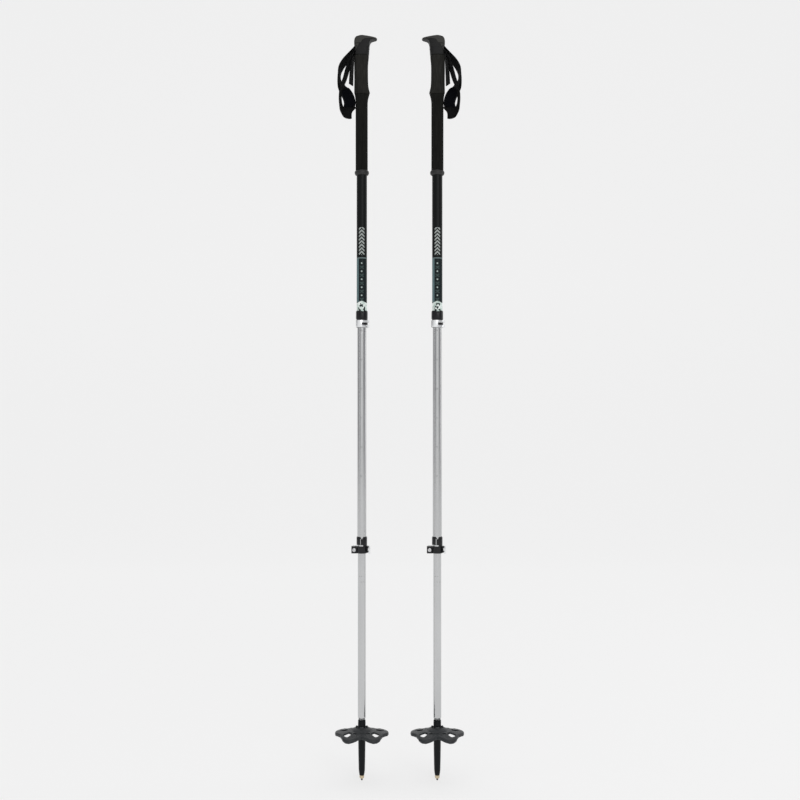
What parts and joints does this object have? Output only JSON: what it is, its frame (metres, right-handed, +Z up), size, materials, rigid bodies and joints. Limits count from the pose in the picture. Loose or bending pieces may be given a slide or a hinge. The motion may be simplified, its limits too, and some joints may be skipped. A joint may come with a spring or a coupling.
{
  "type": "trekking poles",
  "caption": "Telescoping trekking poles with foam grips, wrist straps, lever locks, flex tips and baskets.",
  "frame": {"origin": "on the floor, midway between the two carbide tips", "axes": "+Z up along the poles, +X from the left pole to the right pole, -Y the front"},
  "size_m": [0.226, 0.0802, 1.3],
  "materials": {
    "head_plastic": "matte moulded",
    "cap_rubber": "matte moulded, lighter grey",
    "grip_foam": "matte closed-cell foam",
    "extension_foam": "matte closed-cell foam",
    "ring_rubber": "satin",
    "webbing": "woven",
    "strap_lining": "smooth knit",
    "steel": "satin",
    "black_tube": "satin anodised, black",
    "silver_tube": "satin anodised",
    "lock_plastic": "satin",
    "lever_metal": "bright forged",
    "plug_plastic": "matte",
    "tip_plastic": "glossy",
    "basket_plastic": "satin",
    "brass_insert": "satin",
    "carbide": "dark"
  },
  "bodies": {
    "left_grip_section": {"left_grip_head": "head_plastic", "left_pommel_cap": "cap_rubber", "left_strap_wedge": "cap_rubber", "left_strap_pin": "steel", "left_grip_foam": "grip_foam", "left_extension_foam": "extension_foam", "left_foam_end_ring": "ring_rubber", "left_upper_shaft": "black_tube", "left_upper_lock_collar": "lock_plastic", "left_upper_lock_pin": "steel"},
    "left_strap": {"left_wrist_strap": "webbing", "left_strap_padding": "strap_lining"},
    "left_upper_lever": {"left_upper_lock_lever": "lever_metal"},
    "left_upper_screw": {"left_upper_lock_screw": "steel"},
    "left_middle_guide": {"left_middle_shaft_plug": "plug_plastic"},
    "left_middle_section": {"left_middle_shaft": "silver_tube", "left_lower_lock_collar": "lock_plastic", "left_lower_lock_pin": "steel"},
    "left_lower_lever": {"left_lower_lock_lever": "lever_metal"},
    "left_lower_screw": {"left_lower_lock_screw": "steel"},
    "left_lower_guide": {"left_lower_shaft_plug": "plug_plastic"},
    "left_lower_section": {"left_lower_shaft": "silver_tube", "left_tip_ferrule": "tip_plastic", "left_basket": "basket_plastic", "left_tip_insert": "brass_insert", "left_carbide_tip": "carbide"},
    "right_grip_section": {"right_grip_head": "head_plastic", "right_pommel_cap": "cap_rubber", "right_strap_wedge": "cap_rubber", "right_strap_pin": "steel", "right_grip_foam": "grip_foam", "right_extension_foam": "extension_foam", "right_foam_end_ring": "ring_rubber", "right_upper_shaft": "black_tube", "right_upper_lock_collar": "lock_plastic", "right_upper_lock_pin": "steel"},
    "right_strap": {"right_wrist_strap": "webbing", "right_strap_padding": "strap_lining"},
    "right_upper_lever": {"right_upper_lock_lever": "lever_metal"},
    "right_upper_screw": {"right_upper_lock_screw": "steel"},
    "right_middle_guide": {"right_middle_shaft_plug": "plug_plastic"},
    "right_middle_section": {"right_middle_shaft": "silver_tube", "right_lower_lock_collar": "lock_plastic", "right_lower_lock_pin": "steel"},
    "right_lower_lever": {"right_lower_lock_lever": "lever_metal"},
    "right_lower_screw": {"right_lower_lock_screw": "steel"},
    "right_lower_guide": {"right_lower_shaft_plug": "plug_plastic"},
    "right_lower_section": {"right_lower_shaft": "silver_tube", "right_tip_ferrule": "tip_plastic", "right_basket": "basket_plastic", "right_tip_insert": "brass_insert", "right_carbide_tip": "carbide"}
  },
  "joints": [
    {"name": "poles_apart", "type": "slide", "parent": "left_grip_section", "child": "right_grip_section", "axis": [1, 0, 0], "range_m": [0, 0.3]},
    {"name": "left_strap_swing", "type": "hinge", "parent": "left_grip_section", "child": "left_strap", "pos_m": [-0.0753, 0, 1.281], "axis": [0, 1, 0], "range_deg": [0, 50]},
    {"name": "left_upper_lever_swing", "type": "hinge", "parent": "left_grip_section", "child": "left_upper_lever", "pos_m": [-0.058, 0.0134, 0.7979], "axis": [0, 0, 1], "range_deg": [0, 130]},
    {"name": "left_upper_screw_turn", "type": "hinge", "parent": "left_grip_section", "child": "left_upper_screw", "pos_m": [-0.066, 0.0134, 0.7979], "axis": [-1, 0, 0], "continuous": true},
    {"name": "left_lower_lever_swing", "type": "hinge", "parent": "left_middle_section", "child": "left_lower_lever", "pos_m": [-0.0794, 0.008, 0.4032], "axis": [0, 0, 1], "range_deg": [0, 130]},
    {"name": "left_lower_screw_turn", "type": "hinge", "parent": "left_middle_section", "child": "left_lower_screw", "pos_m": [-0.0794, 0, 0.4032], "axis": [0, -1, 0], "continuous": true},
    {"name": "left_middle_slide", "type": "slide", "parent": "left_grip_section", "child": "left_middle_guide", "axis": [0, 0, 1], "range_m": [-0.08, 0.28]},
    {"name": "left_middle_turn", "type": "hinge", "parent": "left_middle_guide", "child": "left_middle_section", "pos_m": [-0.066, 0, 0.93], "axis": [0, 0, 1], "continuous": true},
    {"name": "left_lower_slide", "type": "slide", "parent": "left_middle_section", "child": "left_lower_guide", "axis": [0, 0, 1], "range_m": [-0.06, 0.28]},
    {"name": "left_lower_turn", "type": "hinge", "parent": "left_lower_guide", "child": "left_lower_section", "pos_m": [-0.066, 0, 0.512], "axis": [0, 0, 1], "continuous": true},
    {"name": "right_strap_swing", "type": "hinge", "parent": "right_grip_section", "child": "right_strap", "pos_m": [0.0753, 0, 1.281], "axis": [0, -1, 0], "range_deg": [0, 50]},
    {"name": "right_upper_lever_swing", "type": "hinge", "parent": "right_grip_section", "child": "right_upper_lever", "pos_m": [0.074, 0.0134, 0.7979], "axis": [0, 0, 1], "range_deg": [0, 130]},
    {"name": "right_upper_screw_turn", "type": "hinge", "parent": "right_grip_section", "child": "right_upper_screw", "pos_m": [0.066, 0.0134, 0.7979], "axis": [-1, 0, 0], "continuous": true},
    {"name": "right_lower_lever_swing", "type": "hinge", "parent": "right_middle_section", "child": "right_lower_lever", "pos_m": [0.0526, 0.008, 0.4032], "axis": [0, 0, 1], "range_deg": [0, 130]},
    {"name": "right_lower_screw_turn", "type": "hinge", "parent": "right_middle_section", "child": "right_lower_screw", "pos_m": [0.0526, 0, 0.4032], "axis": [0, -1, 0], "continuous": true},
    {"name": "right_middle_slide", "type": "slide", "parent": "right_grip_section", "child": "right_middle_guide", "axis": [0, 0, 1], "range_m": [-0.08, 0.28]},
    {"name": "right_middle_turn", "type": "hinge", "parent": "right_middle_guide", "child": "right_middle_section", "pos_m": [0.066, 0, 0.93], "axis": [0, 0, 1], "continuous": true},
    {"name": "right_lower_slide", "type": "slide", "parent": "right_middle_section", "child": "right_lower_guide", "axis": [0, 0, 1], "range_m": [-0.06, 0.28]},
    {"name": "right_lower_turn", "type": "hinge", "parent": "right_lower_guide", "child": "right_lower_section", "pos_m": [0.066, 0, 0.512], "axis": [0, 0, 1], "continuous": true}
  ]
}
